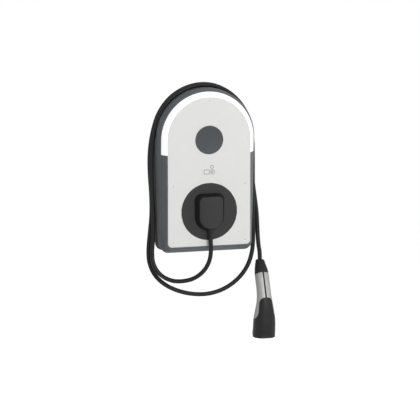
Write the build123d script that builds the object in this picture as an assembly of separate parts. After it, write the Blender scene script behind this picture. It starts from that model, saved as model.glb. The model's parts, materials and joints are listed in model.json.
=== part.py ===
from build123d import *
from math import cos, pi, radians, sin, tan
import os

# Wall-mounted charging unit for an electric car, with its lead wound round it and the plug hanging.
# Millimetres. X is across, Z is up, the wall is the plane Y = 0 and the front looks along -Y.
# The origin is the middle of the four wall fixings. "Reach" is a distance from the wall.

# Front panel, an arch over a straight foot
PANEL_REACH = 100.0
PANEL_THICK = 3.0
PANEL_HALF = 127.0
ARCH_Z = 95.0
PANEL_FOOT_Z = -224.0
PANEL_CORNER = 13.0
LEAST_CORNER = 3.0
PANEL_GAP = 0.4
PANEL_EDGE = 0.8

# Front frame, whose bevel runs from the panel out to the widest line
BEVEL_SIDE = 21.5
BEVEL_FOOT_SIDE = 13.5
BEVEL_LOW = 22.0
RIM_LIFT = 1.5
RIM_RADIUS = PANEL_HALF + BEVEL_SIDE
RIM_FOOT_HALF = PANEL_HALF + BEVEL_FOOT_SIDE
RIM_FOOT_Z = PANEL_FOOT_Z - BEVEL_LOW
RIM_CORNER = 24.0
BEVEL_FRONT = 99.0
BEVEL_MID = 86.0
BEVEL_BACK = 67.0
BEVEL_LIP = 1.5
BEVEL_SHARE = 0.52
RIM_BACK = 42.0
RIM_SIDE_BACK = 63.0
SWEEP_Z = 120.0
SWEEP_END_Z = -30.0
LEDGE_WIDTH = 24.0
LEDGE_THICK = 5.0
THROAT_INSET = 10.0
BOSS_R = 5.5
SCREW_INSET = 16.3
TOP_SCREW_INSET = 9.0
LOW_SCREW_RISE = 14.4
MID_SCREW_Z = -40.5
PANEL_SCREW_LONG = 14.0
SCREW_HOLE_SPARE = 4.0
PANEL_HEAD_R = 2.6
PANEL_HEAD_HIGH = 1.6
HEX_R = 1.2
HEX_DEEP = 1.0

# Light band that follows the bevel round the arch
BAND_WIDTH = 15.0
BAND_THICK = 4.0
BAND_FOOT_Z = 53.0
BAND_CLEAR = 0.3
LED_INNER = 5.8
LED_OUTER = 10.6
LED_SEAT = 74.0
BOARD_THICK = 1.6
LED_SIZE = 3.0
LED_HIGH = 1.2
LED_COUNT = 15

# Rear base, a tray whose crown is the saddle that the lead lies on
OVERHANG_SIDE = 4.8
OVERHANG_FOOT = 6.0
OVERHANG_LOW = 3.0
SADDLE_RADIUS = RIM_RADIUS - OVERHANG_SIDE
BASE_FOOT_HALF = RIM_FOOT_HALF - OVERHANG_FOOT
BASE_FOOT_Z = RIM_FOOT_Z + OVERHANG_LOW
BASE_CORNER = 18.0
BASE_REACH = 62.0
BASE_WALL = 3.0
BASE_FLOOR = 6.0
FLARE = 5.6
FLARE_CHAMFER = 4.4
FIT = 0.3

# Wall bracket and the fixings
BRACKET_W = 190.0
BRACKET_H = 150.0
BRACKET_THICK = 2.0
BRACKET_CORNER = 8.0
FIX_X = 160.0
FIX_Z = 120.0
FIX_HOLE_R = 3.5
ACCESS_HOLE_R = 9.0
HOOK_X = 50.0
HOOK_Z = 30.0
HOOK_W = 24.0
HOOK_LIP = 5.0
SCREW_R = 2.0
HEAD_R = 4.0
HEAD_HIGH = 2.4
SCREW_DEEP = 12.0

# Outlet at the lower front: round cover with a hood
OUTLET_Z = -120.0
OUTLET_R = 86.0
OUTLET_PROUD = 1.5
OUTLET_SPIGOT_R = 78.0
SPIGOT_WALL = 3.0
SPIGOT_DEEP = 9.0
SPIGOT_CLEAR = 0.3
SCREW_CLEAR = 0.2
COVER_THICK = 2.5
RETAINER_W = 7.0
RETAINER_THICK = 4.0
HOOD_REACH = 131.0
HOOD_WALL = 3.0
HOOD_CROWN_R = 160.0
HOOD_BASE = (46.3, 54.6, -32.0, 31.0, -57.0, 18.0)
HOOD_FACE = (39.0, 48.9, -15.0, 26.0, -49.8, 14.0)

# Round reader window
WINDOW_Z = 95.0
WINDOW_R = 42.75
WINDOW_SPIGOT_R = 38.7
WINDOW_SPIGOT_DEEP = 4.0
WINDOW_DISH = 1.8
WINDOW_RIM = 2.2
WINDOW_EDGE = 0.6
READER_BOARD_R = 35.0

# Charging lead
CORD_R = 6.5
CORD_EXIT_Y = -115.0
CORD_EXIT_Z = -178.0
BOOT_R = 7.6
BOOT_LONG = 20.0
BOOT_FLANGE_R = 10.5
BOOT_FLANGE_HIGH = 3.0
BOOT_CLEAR = 0.2
LEAD_TURN_Z = -118.0
LEAD_TURN_R = 22.0
CLAMP_W = 44.0
CLAMP_H = 26.0
CLAMP_BELOW = 22.0
CLAMP_CORNER = 2.0
RUN_SHARE = 0.45

# Inside the base
INNER_COVER_THICK = 3.0
PILLAR_R = 5.0
PILLAR_INSET = 10.5
PILLAR_ABOVE_ARCH = 55.0
PILLAR_ABOVE_FOOT = 28.0
PILLAR_MIDDLE_Z = -20.0
LEAD_WINDOW_W = 90.0
LEAD_WINDOW_H = 60.0
LEAD_WINDOW_CORNER = 10.0
RAIL_Z = -180.0
RAIL_LONG = 216.0
RAIL_HIGH = 7.5
RAIL_W = 35.0
RAIL_WEB_W = 24.0
RAIL_THICK = 1.2
PAD_HIGH = 6.0
PAD_W = 20.0
PAD_X = 92.0
DEVICE_CLEAR = 0.3
DEVICE_HIGH = 84.0
DEVICE_DEEP = 26.0
DEVICE_NOSE_HIGH = 45.0
DEVICE_NOSE_DEEP = 9.0
DEVICE_CORNER = 1.0
CONTACTOR_X = -46.0
CONTACTOR_W = 54.0
METER_W = 36.0
SENSOR_W = 36.0
POLE_PITCH = 18.0
WELL_R = 3.2
WELL_EDGE = 7.0
WELL_DEEP = 6.0
TERMINAL_POLES = 5
TERMINAL_PITCH = 8.0
TERMINAL_H = 46.0
TERMINAL_DEEP = 22.0
BOARD_W = 180.0
BOARD_H = 150.0
BOARD_Z = 90.0
POST_HIGH = 12.0
POST_R = 3.5
POST_HOLE_STOP = 1.0
BOARD_MARGIN = 8.0
BOARD_CORNER = 4.0
BRICK_W = 60.0
BRICK_H = 42.0
BRICK_DEEP = 20.0
BRICK_X = -45.0
BRICK_Z = 70.0
BRICK_CORNER = 2.0
BRICK_CHAMFER = 1.0
SOCKET_W = 22.0
SOCKET_H = 9.0
SOCKET_DEEP = 8.0
SOCKET_COUNT = 4
SOCKET_PITCH = 34.0
ENTRY_X = -80.0
ENTRY_Z = -100.0
ENTRY_R = 16.5
GROMMET_BORE_R = 10.0
GROMMET_LIP = 3.5
GROMMET_THICK = 2.0
GROMMET_INSET = 1.0

# Vehicle connector hanging on the end of the lead
PLUG_X = 176.0
PLUG_SKIN = 3.0
PLUG_SEAM = 1.1
GRIP_TOP_Z = -327.0
GRIP_TILT = 24.0
NOSE_TOP_Z = -456.0
CARRIER_TOP_Z = -480.0
CARRIER_RECESS = 2.0
PIN_RING = 13.0
PIN_R = 3.2
SMALL_PIN_R = 2.4
PIN_BORE_R = 1.6
PIN_LONG = 22.0
# Each section of the connector: height, middle Y, width, depth
PLUG_SECTIONS = [
    (-287.0, -36.0, 20.0, 20.0),
    (-302.0, -43.0, 30.0, 30.0),
    (-318.0, -51.5, 39.5, 37.5),
    (-344.0, -64.0, 42.5, 40.0),
    (-378.0, -79.0, 42.8, 41.0),
    (-404.0, -86.5, 47.0, 47.0),
    (-432.0, -87.0, 57.0, 54.0),
    (-458.0, -85.0, 64.5, 60.0),
    (-488.0, -82.5, 67.0, 62.0),
    (-514.0, -80.5, 66.0, 61.0),
]
PLUG_CORNER_SHARE = 0.46
# Arched cover on the connector's front: half width and height, from its foot to its shoulder
COVER_SIDE = [(34.0, -460.0), (27.0, -446.0), (20.5, -426.0), (15.5, -402.0)]
COVER_CROWN_Z = -389.0

# How far a cutting block runs on past the face that it cuts
PAST = 1.0

# Centre line of the lead from the hood to the connector, chosen by hand
CORD_POINTS = [
    (0, -115, -178), (0, -115, -206), (2, -114, -238), (-2, -110, -270), (-17, -103, -300),
    (-44, -93, -323), (-78, -82, -332), (-111, -71, -330.5), (-143.5, -61, -311.7),
    (-161.5, -51, -279), (-161.5, -43, -242), (-155.5, -37.5, -195), (-154.2, -35.3, -140),
    (-158, -35, -80), (-160.2, -35, -15), (-160.5, -35, 50),
    (-153, -35, 112), (-134, -35, 175), (-90.5, -35, 225), (-30, -35, 251.5), (34, -35, 250.5),
    (91, -35, 220), (133, -35, 168), (150.5, -35, 105),
    (153.5, -35, 42), (153.5, -35, -30), (154, -35, -100), (154.5, -35, -160),
    (155.5, -35.5, -215), (152, -37, -262), (137, -39, -305), (108, -41, -341), (66, -42, -369),
    (17, -43, -382.5), (-33, -43, -381), (-80, -41, -369), (-121, -38, -348.5),
    (-152, -33, -318), (-167, -28, -280), (-168, -25, -240), (-162, -22, -190),
    (-156, -21, -135), (-157, -21, -75), (-162, -21, -10), (-162.5, -21, 50),
    (-154, -21, 112), (-134, -21, 175), (-90.5, -21, 225), (-30, -21, 251.5), (34, -21, 250.5),
    (91, -21, 220), (133, -21, 168), (151, -21, 105),
    (152.5, -21, 40), (153.5, -21, -20), (161, -22, -80), (169, -24, -140), (170.5, -27, -192),
    (172, -32, -240), (176, -36, -264), (176, -36, -287),
]

os.makedirs("parts", exist_ok=True)


def save(shape, name):
    export_step(shape, f"parts/{name}.step")


def slab(outline, near, far):
    """Extrude an XZ outline between two reaches from the wall."""
    return extrude(Plane.XZ.offset(near) * outline, far - near)


def arch_outline(radius, foot, bottom, corner, centre=ARCH_Z):
    """Arch over two nearly upright sides, with rounded lower corners."""
    sides = Polyline((radius, centre), (foot, bottom), (-foot, bottom), (-radius, centre))
    crown = ThreePointArc((-radius, centre), (0, centre + radius), (radius, centre))
    face = make_face(sides + crown)
    return fillet(face.vertices().group_by(Axis.Y)[0], corner)


def panel_outline(grow=0.0):
    return arch_outline(PANEL_HALF + grow, PANEL_HALF + grow, PANEL_FOOT_Z - grow,
                        max(PANEL_CORNER + grow, LEAST_CORNER))


def base_outline(grow=0.0):
    return arch_outline(SADDLE_RADIUS + grow, BASE_FOOT_HALF + grow, BASE_FOOT_Z - grow,
                        BASE_CORNER + grow)


def bevel_outline(share, grow=0.0):
    """Outline of the bevel, from the panel's lip at 0 to the widest line at 1."""
    def between(start, end):
        return start + share * (end - start)
    lip = PANEL_HALF + BEVEL_LIP
    return arch_outline(between(lip, RIM_RADIUS) + grow,
                        between(lip, RIM_FOOT_HALF) + grow,
                        between(PANEL_FOOT_Z - BEVEL_LIP, RIM_FOOT_Z) - grow,
                        between(PANEL_CORNER + BEVEL_LIP, RIM_CORNER) + grow,
                        between(ARCH_Z, ARCH_Z + RIM_LIFT))


def bevel_solid(shift=0.0):
    """The convex bevel, moved towards the wall by shift."""
    stations = ((BEVEL_BACK, 1.0), (BEVEL_MID, BEVEL_SHARE), (BEVEL_FRONT, 0.0))
    return loft([Plane.XZ.offset(reach - shift) * bevel_outline(share)
                 for reach, share in stations])


def round_bar(x, z, radius, near, far):
    return slab(Pos(x, z) * Circle(radius), near, far)


def box_at(x, z, width, height, near, far, corner=0.0):
    outline = RectangleRounded(width, height, corner) if corner else Rectangle(width, height)
    return slab(Pos(x, z) * outline, near, far)


def screw(x, z, seat, length, head_r=HEAD_R, shank_r=SCREW_R):
    """Pan-head screw whose head sits at reach seat and whose shank points at the wall."""
    head = round_bar(x, z, head_r, seat, seat + HEAD_HIGH)
    head = fillet(head.edges().filter_by(GeomType.CIRCLE).sort_by(Axis.Y)[0], HEAD_HIGH / 3)
    return head + round_bar(x, z, shank_r, seat - length, seat)


def group(solids):
    return Compound(children=list(solids))


# Wall bracket: steel plate with two hooks that go through the base's back wall
def fixing_places():
    return [(sx * FIX_X / 2, sz * FIX_Z / 2) for sx in (-1, 1) for sz in (-1, 1)]


def make_wall_bracket():
    plate = box_at(0, 0, BRACKET_W, BRACKET_H, 0, BRACKET_THICK, BRACKET_CORNER)
    for x, z in fixing_places():
        plate -= round_bar(x, z, FIX_HOLE_R, -PAST, BRACKET_THICK + PAST)
    lip_near = BASE_FLOOR + FIT
    for x in (-HOOK_X, HOOK_X):
        plate += box_at(x, HOOK_Z, HOOK_W, BRACKET_THICK, 0, lip_near + BRACKET_THICK)
        plate += box_at(x, HOOK_Z + HOOK_LIP / 2, HOOK_W, HOOK_LIP + BRACKET_THICK,
                        lip_near, lip_near + BRACKET_THICK)
        plate -= round_bar(x, -HOOK_Z, SCREW_R, -PAST, BRACKET_THICK + PAST)
    return plate


def make_bracket_screws():
    return group(screw(x, -HOOK_Z, BASE_FLOOR, BASE_FLOOR) for x in (-HOOK_X, HOOK_X))


# Rear base
def make_rear_base():
    foot = slab(base_outline(FLARE), 0, BASE_FLOOR)
    front_rim = foot.faces().sort_by(Axis.Y)[0].edges()
    foot = chamfer(front_rim, FLARE_CHAMFER)
    tray = foot + slab(base_outline(), 0, BASE_REACH)
    tray -= slab(base_outline(-BASE_WALL), BASE_FLOOR, BASE_REACH + PAST)
    recess = BRACKET_THICK + FIT
    tray -= box_at(0, 0, BRACKET_W + 2 * FIT, BRACKET_H + 2 * FIT, -PAST, recess, BRACKET_CORNER)
    for x, z in fixing_places():
        tray -= round_bar(x, z, ACCESS_HOLE_R, 0, BASE_FLOOR + PAST)
    for x in (-HOOK_X, HOOK_X):
        slot_high = BRACKET_THICK + HOOK_LIP + 2 * FIT
        slot_z = HOOK_Z + HOOK_LIP / 2
        tray -= box_at(x, slot_z, HOOK_W + 2 * FIT, slot_high, 0, BASE_FLOOR + PAST)
        tray -= round_bar(x, -HOOK_Z, SCREW_R, 0, BASE_FLOOR + PAST)
    for x, z in pillar_places():
        tray += round_bar(x, z, PILLAR_R, BASE_FLOOR, BASE_REACH)
        tray -= round_bar(x, z, SCREW_R, BASE_REACH - SCREW_DEEP, BASE_REACH + PAST)
    for x in (-PAD_X, PAD_X):
        tray += box_at(x, RAIL_Z, PAD_W, PAD_W, BASE_FLOOR, BASE_FLOOR + PAD_HIGH)
        tray -= round_bar(x, RAIL_Z, SCREW_R, BASE_FLOOR, BASE_FLOOR + PAD_HIGH + PAST)
    for x, z in board_posts():
        tray += round_bar(x, z, POST_R, BASE_FLOOR, BASE_FLOOR + POST_HIGH)
        tray -= round_bar(x, z, SCREW_R, BASE_FLOOR + POST_HOLE_STOP,
                          BASE_FLOOR + POST_HIGH + PAST)
    tray -= round_bar(ENTRY_X, ENTRY_Z, ENTRY_R, -PAST, BASE_FLOOR + PAST)
    return tray


def pillar_places():
    x = BASE_FOOT_HALF - PILLAR_INSET
    heights = (ARCH_Z + PILLAR_ABOVE_ARCH, PILLAR_MIDDLE_Z, BASE_FOOT_Z + PILLAR_ABOVE_FOOT)
    return [(side * x, z) for side in (-1, 1) for z in heights]


def board_posts():
    reach_x = BOARD_W / 2 - BOARD_MARGIN
    reach_z = BOARD_H / 2 - BOARD_MARGIN
    return [(sx * reach_x, BOARD_Z + sz * reach_z) for sx in (-1, 1) for sz in (-1, 1)]


def make_supply_grommet():
    front = BASE_FLOOR + GROMMET_THICK
    ring = round_bar(ENTRY_X, ENTRY_Z, ENTRY_R, GROMMET_INSET, BASE_FLOOR)
    ring += round_bar(ENTRY_X, ENTRY_Z, ENTRY_R + GROMMET_LIP, BASE_FLOOR, front)
    return ring - round_bar(ENTRY_X, ENTRY_Z, GROMMET_BORE_R, 0, front + PAST)


# Mounting rail and what is clipped to it
def rail_seat():
    return BASE_FLOOR + PAD_HIGH


def rail_front():
    return rail_seat() + RAIL_HIGH


def make_mounting_rail():
    near = rail_seat()
    web = box_at(0, RAIL_Z, RAIL_LONG, RAIL_WEB_W, near, near + RAIL_THICK)
    for side in (-1, 1):
        wall_z = RAIL_Z + side * (RAIL_WEB_W - RAIL_THICK) / 2
        lip_w = (RAIL_W - RAIL_WEB_W) / 2 + RAIL_THICK
        lip_z = RAIL_Z + side * (RAIL_W - lip_w) / 2
        web += box_at(0, wall_z, RAIL_LONG, RAIL_THICK, near, near + RAIL_HIGH)
        web += box_at(0, lip_z, RAIL_LONG, lip_w, near + RAIL_HIGH - RAIL_THICK, near + RAIL_HIGH)
    for x in (-PAD_X, PAD_X):
        web -= round_bar(x, RAIL_Z, SCREW_R, near - PAST, near + RAIL_THICK + PAST)
    return web


def make_rail_screws():
    return group(screw(x, RAIL_Z, rail_seat() + RAIL_THICK, PAD_HIGH) for x in (-PAD_X, PAD_X))


def rail_device(x, width, height, depth):
    """Housing that clips on the rail: a body, a raised nose and one screw well per pole."""
    near = rail_front()
    body = box_at(x, RAIL_Z, width, height, near, near + depth, DEVICE_CORNER)
    body += box_at(x, RAIL_Z, width, DEVICE_NOSE_HIGH, near + depth,
                   near + depth + DEVICE_NOSE_DEEP)
    poles = max(1, round(width / POLE_PITCH))
    for i in range(poles):
        pole_x = x + (i - (poles - 1) / 2) * width / poles
        for side in (-1, 1):
            well_z = RAIL_Z + side * (height / 2 - WELL_EDGE)
            body -= round_bar(pole_x, well_z, WELL_R, near + depth - WELL_DEEP,
                              near + depth + PAST)
    return body


def device_places():
    """Middle X of each clipped device, set side by side from the contactor."""
    contactor = CONTACTOR_X
    meter = contactor + CONTACTOR_W / 2 + DEVICE_CLEAR + METER_W / 2
    sensor = meter + METER_W / 2 + DEVICE_CLEAR + SENSOR_W / 2
    terminal = sensor + SENSOR_W / 2 + DEVICE_CLEAR + TERMINAL_POLES * TERMINAL_PITCH / 2
    return contactor, meter, sensor, terminal


def make_terminal_block():
    middle = device_places()[3]
    near = rail_front()
    width = TERMINAL_POLES * TERMINAL_PITCH
    block = box_at(middle, RAIL_Z, width, TERMINAL_H, near, near + TERMINAL_DEEP)
    for i in range(TERMINAL_POLES):
        x = middle + (i - (TERMINAL_POLES - 1) / 2) * TERMINAL_PITCH
        for side in (-1, 1):
            z = RAIL_Z + side * (TERMINAL_H / 2 - WELL_EDGE)
            block -= round_bar(x, z, WELL_R, near + TERMINAL_DEEP - WELL_DEEP,
                               near + TERMINAL_DEEP + PAST)
    return block


# Control board with its supply brick and plug-in connectors
def board_near():
    return BASE_FLOOR + POST_HIGH


def make_control_board():
    near = board_near()
    board = box_at(0, BOARD_Z, BOARD_W, BOARD_H, near, near + BOARD_THICK, BOARD_CORNER)
    for x, z in board_posts():
        board -= round_bar(x, z, SCREW_R + SCREW_CLEAR, near - PAST, near + BOARD_THICK + PAST)
    return board


def make_board_screws():
    return group(screw(x, z, board_near() + BOARD_THICK, POST_HIGH / 2) for x, z in board_posts())


def make_power_supply():
    near = board_near() + BOARD_THICK
    brick = box_at(BRICK_X, BRICK_Z, BRICK_W, BRICK_H, near, near + BRICK_DEEP, BRICK_CORNER)
    return chamfer(brick.faces().sort_by(Axis.Y)[0].edges(), BRICK_CHAMFER)


def make_board_sockets():
    near = board_near() + BOARD_THICK
    bottom_z = BOARD_Z - BOARD_H / 2 + SOCKET_H
    places = [(i - (SOCKET_COUNT - 1) / 2) * SOCKET_PITCH for i in range(SOCKET_COUNT)]
    return group(box_at(x, bottom_z, SOCKET_W, SOCKET_H, near, near + SOCKET_DEEP)
                 for x in places)


# Touch-safe inner cover, resting on the base's walls and pillars
def make_inner_cover():
    far = BASE_REACH + INNER_COVER_THICK
    cover = slab(base_outline(), BASE_REACH, far)
    cover -= box_at(0, LEAD_TURN_Z, LEAD_WINDOW_W, LEAD_WINDOW_H, BASE_REACH - PAST, far + PAST,
                    LEAD_WINDOW_CORNER)
    for x, z in pillar_places():
        cover -= round_bar(x, z, SCREW_R + SCREW_CLEAR, BASE_REACH - PAST, far + PAST)
    return cover


def make_cover_screws():
    seat = BASE_REACH + INNER_COVER_THICK
    return group(screw(x, z, seat, SCREW_DEEP) for x, z in pillar_places())


# Front frame with its bevel, ledge for the panel and light band pocket
def panel_screw_places():
    side_x = PANEL_HALF - SCREW_INSET
    low_z = PANEL_FOOT_Z + LOW_SCREW_RISE
    return [(0, ARCH_Z + PANEL_HALF - TOP_SCREW_INSET), (-side_x, MID_SCREW_Z),
            (side_x, MID_SCREW_Z), (-side_x, low_z), (side_x, low_z)]


def band_ring(inner, outer, foot_z, near, far):
    """Arch-shaped ring between two offsets of the panel's outline, above foot_z."""
    ring = slab(panel_outline(outer), near, far)
    ring -= slab(panel_outline(inner), near - PAST, far + PAST)
    high = ARCH_Z + PANEL_HALF + outer - foot_z + PAST
    wide = 2 * (PANEL_HALF + outer + PAST)
    return ring & box_at(0, foot_z + high / 2, wide, high, near - PAST, far + PAST)


def make_rim_relief():
    """Solid behind the rim's rear edge, which sweeps forward from the crown to the sides."""
    deep = RIM_SIDE_BACK
    edge = Spline((-RIM_BACK, SWEEP_Z), (-deep, SWEEP_END_Z), tangents=((0, -1), (0, -1)))
    low = RIM_FOOT_Z - PAST
    rest = Polyline((-deep, SWEEP_END_Z), (-deep, low), (0, low), (0, SWEEP_Z),
                    (-RIM_BACK, SWEEP_Z))
    profile = make_face(edge + rest)
    return extrude(Plane.YZ * profile, RIM_RADIUS + PAST, both=True)


def make_front_frame():
    frame = bevel_solid() + slab(bevel_outline(1.0), RIM_BACK, BEVEL_BACK)
    cavity_turn = BASE_REACH + INNER_COVER_THICK + FIT
    frame -= slab(base_outline(FIT), RIM_BACK - PAST, cavity_turn)
    ledge_back = PANEL_REACH - PANEL_THICK - LEDGE_THICK
    throat = panel_outline(-THROAT_INSET)
    frame -= loft([Plane.XZ.offset(cavity_turn) * base_outline(FIT),
                   Plane.XZ.offset(ledge_back) * throat])
    frame -= slab(panel_outline(-LEDGE_WIDTH), ledge_back - PAST, PANEL_REACH + PAST)
    frame -= round_bar(0, OUTLET_Z, retainer_radius() + FIT, ledge_back - PAST, PANEL_REACH + PAST)
    for x, z in panel_screw_places():
        frame += round_bar(x, z, BOSS_R, cavity_turn, PANEL_REACH - PANEL_THICK)
        frame -= round_bar(x, z, SCREW_R, PANEL_REACH - PANEL_SCREW_LONG - SCREW_HOLE_SPARE,
                           PANEL_REACH)
    frame -= slab(panel_outline(PANEL_GAP), PANEL_REACH - PANEL_THICK, PANEL_REACH + PAST)
    pocket = band_ring(BEVEL_LIP - BAND_CLEAR, BAND_WIDTH + BAND_CLEAR, BAND_FOOT_Z - BAND_CLEAR,
                       BEVEL_BACK, PANEL_REACH)
    frame -= pocket - bevel_solid(BAND_THICK + BAND_CLEAR)
    frame -= band_ring(LED_INNER - BAND_CLEAR, LED_OUTER + BAND_CLEAR,
                       BAND_FOOT_Z + LED_SIZE, LED_SEAT, BEVEL_FRONT)
    frame -= make_rim_relief()
    return frame


def make_light_diffuser():
    band = band_ring(BEVEL_LIP, BAND_WIDTH, BAND_FOOT_Z, BEVEL_BACK, PANEL_REACH)
    return (band & bevel_solid()) - bevel_solid(BAND_THICK)


def make_led_board():
    return band_ring(LED_INNER, LED_OUTER, BAND_FOOT_Z + LED_SIZE + BAND_CLEAR,
                     LED_SEAT, LED_SEAT + BOARD_THICK)


def make_leds():
    middle = PANEL_HALF + (LED_INNER + LED_OUTER) / 2
    near = LED_SEAT + BOARD_THICK
    chips = []
    for i in range(LED_COUNT):
        angle = 180.0 * i / (LED_COUNT - 1)
        place = Pos(middle * cos(radians(angle)), ARCH_Z + middle * sin(radians(angle)))
        chips.append(slab(place * Rot(0, 0, angle) * Rectangle(LED_SIZE, LED_SIZE), near,
                          near + LED_HIGH))
    return group(chips)


# Front panel and what is set in it
def make_front_panel():
    back = PANEL_REACH - PANEL_THICK
    panel = slab(panel_outline(), back, PANEL_REACH)
    panel = fillet(panel.faces().sort_by(Axis.Y)[0].edges(), PANEL_EDGE)
    front = PANEL_REACH + PAST
    panel -= round_bar(0, OUTLET_Z, OUTLET_SPIGOT_R + SPIGOT_CLEAR, back - PAST, front)
    panel -= round_bar(0, WINDOW_Z, WINDOW_SPIGOT_R + SPIGOT_CLEAR, back - PAST, front)
    for x, z in panel_screw_places():
        panel -= round_bar(x, z, SCREW_R + SCREW_CLEAR, back - PAST, front)
        panel -= round_bar(x, z, PANEL_HEAD_R + SCREW_CLEAR, PANEL_REACH - PANEL_HEAD_HIGH, front)
    return panel


def make_panel_screws():
    screws = []
    for x, z in panel_screw_places():
        seat = PANEL_REACH - PANEL_HEAD_HIGH
        head = round_bar(x, z, PANEL_HEAD_R, seat, PANEL_REACH)
        head -= slab(Pos(x, z) * RegularPolygon(HEX_R, 6), PANEL_REACH - HEX_DEEP,
                     PANEL_REACH + PAST)
        screws.append(head + round_bar(x, z, SCREW_R, PANEL_REACH - PANEL_SCREW_LONG, seat))
    return group(screws)


def make_reader_window():
    rim = PANEL_REACH + OUTLET_PROUD
    disc = round_bar(0, WINDOW_Z, WINDOW_R, PANEL_REACH, rim)
    disc = fillet(disc.edges().filter_by(GeomType.CIRCLE).sort_by(Axis.Y)[0], WINDOW_EDGE)
    disc += round_bar(0, WINDOW_Z, WINDOW_SPIGOT_R, PANEL_REACH - WINDOW_SPIGOT_DEEP, PANEL_REACH)
    dish_edge = WINDOW_R - WINDOW_RIM
    dish_r = (dish_edge ** 2 + WINDOW_DISH ** 2) / (2 * WINDOW_DISH)
    return disc - Pos(0, -(rim + dish_r - WINDOW_DISH), WINDOW_Z) * Sphere(dish_r)


def make_reader_board():
    near = PANEL_REACH - WINDOW_SPIGOT_DEEP - BOARD_THICK
    return round_bar(0, WINDOW_Z, READER_BOARD_R, near, near + BOARD_THICK)


# Outlet cover: round plate, spigot through the panel, and the hood
def hood_outline(half, top, shoulder, foot_half, bottom, corner, inset=0.0):
    """Rounded top over straight sides that draw in to a narrower foot."""
    wide = half - inset
    foot = foot_half - inset / 2
    points = [(wide, top - inset), (wide, shoulder), (foot, bottom + inset),
              (-foot, bottom + inset), (-wide, shoulder), (-wide, top - inset)]
    face = make_face(Polyline(*points, close=True))
    by_height = face.vertices().group_by(Axis.Y)
    face = fillet(by_height[2], corner - inset)
    face = fillet(face.vertices().group_by(Axis.Y)[0], corner)
    middle = [v for v in face.vertices() if abs(v.Y - shoulder) < 0.01]
    return Pos(0, OUTLET_Z) * fillet(middle, 2 * corner)


def hood_solid(inset=0.0):
    near = PANEL_REACH + OUTLET_PROUD - inset
    far = HOOD_REACH + 1
    body = loft([Plane.XZ.offset(near) * hood_outline(*HOOD_BASE, inset),
                 Plane.XZ.offset(far) * hood_outline(*HOOD_FACE, inset)])
    crown_y = -(HOOD_REACH - inset - HOOD_CROWN_R)
    crown = Pos(0, crown_y, OUTLET_Z) * Cylinder(HOOD_CROWN_R, 4 * OUTLET_R)
    return body & crown


def make_outlet_cover():
    face = PANEL_REACH + OUTLET_PROUD
    cover = round_bar(0, OUTLET_Z, OUTLET_R, PANEL_REACH, face)
    cover = fillet(cover.edges().filter_by(GeomType.CIRCLE).sort_by(Axis.Y)[0], PANEL_EDGE)
    spigot_back = PANEL_REACH - SPIGOT_DEEP
    cover += round_bar(0, OUTLET_Z, OUTLET_SPIGOT_R, spigot_back, PANEL_REACH)
    cover -= round_bar(0, OUTLET_Z, OUTLET_SPIGOT_R - SPIGOT_WALL, spigot_back - PAST,
                       face - COVER_THICK)
    cover += hood_solid()
    cover -= hood_solid(HOOD_WALL)
    hole = Pos(0, CORD_EXIT_Y, CORD_EXIT_Z) * Cylinder(BOOT_R + BOOT_CLEAR, BOOT_LONG)
    return cover - hole


def retainer_radius():
    return OUTLET_SPIGOT_R + SPIGOT_CLEAR + RETAINER_W


def make_retaining_ring():
    back = PANEL_REACH - PANEL_THICK
    inner = OUTLET_SPIGOT_R + SPIGOT_CLEAR
    ring = round_bar(0, OUTLET_Z, retainer_radius(), back - RETAINER_THICK, back)
    return ring - round_bar(0, OUTLET_Z, inner, back - RETAINER_THICK - PAST, back + PAST)


# The lead: boot in the hood, its fixed end inside, and the free length
def make_cable_boot():
    top = CORD_EXIT_Z + BOOT_LONG
    boot = Pos(0, CORD_EXIT_Y, CORD_EXIT_Z + BOOT_LONG / 2) * Cylinder(BOOT_R, BOOT_LONG)
    flange_z = top - BOOT_FLANGE_HIGH / 2
    return boot + Pos(0, CORD_EXIT_Y, flange_z) * Cylinder(BOOT_FLANGE_R, BOOT_FLANGE_HIGH)


def tube(points, radii, section_r):
    """Round tube along straight runs joined by tangent arcs."""
    path = FilletPolyline(*points, radius=radii)
    start = Vector(*points[0])
    toward = Vector(*points[1]) - start
    section = Plane(origin=start, z_dir=toward) * Circle(section_r)
    solid = sweep(section, path=path)
    expected = pi * section_r ** 2 * path.length
    print("tube length", round(path.length, 1), "volume over section x length",
          round(solid.volume / expected, 5))
    return solid


def clamp_reach():
    return BASE_REACH - CLAMP_BELOW


def make_lead_inside():
    top = CORD_EXIT_Z + BOOT_LONG
    points = [(0, CORD_EXIT_Y, top), (0, CORD_EXIT_Y, LEAD_TURN_Z),
              (0, -clamp_reach(), LEAD_TURN_Z)]
    return tube(points, [LEAD_TURN_R], CORD_R)


def make_cable_clamp():
    near = BASE_FLOOR
    far = clamp_reach() + CLAMP_BELOW / 2
    block = box_at(0, LEAD_TURN_Z, CLAMP_W, CLAMP_H, near, far, CLAMP_CORNER)
    return block - round_bar(0, LEAD_TURN_Z, CORD_R, clamp_reach(), far + PAST)


def smooth_radii(points):
    """Arc radius at each corner: a share of the shorter run over the tangent of half the turn."""
    radii = []
    for before, here, after in zip(points, points[1:], points[2:]):
        run_in = Vector(*here) - Vector(*before)
        run_out = Vector(*after) - Vector(*here)
        half_turn = radians(run_in.get_angle(run_out) / 2)
        radii.append(RUN_SHARE * min(run_in.length, run_out.length) / tan(half_turn))
    return radii


def make_charging_cord():
    radii = smooth_radii(CORD_POINTS)
    print("cord radii", [round(r) for r in radii])
    tightest = min(radii)
    print("tightest cord radius", round(tightest, 1), "diameters", round(tightest / CORD_R / 2, 2))
    return tube(CORD_POINTS, radii, CORD_R)


# Vehicle connector
def plug_body(inset=0.0):
    faces = []
    for z, y, width, depth in PLUG_SECTIONS:
        w = width - 2 * inset
        d = depth - 2 * inset
        outline = RectangleRounded(w, d, PLUG_CORNER_SHARE * min(w, d))
        faces.append(Plane(origin=(PLUG_X, y, z)) * outline)
    return loft(faces)


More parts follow.
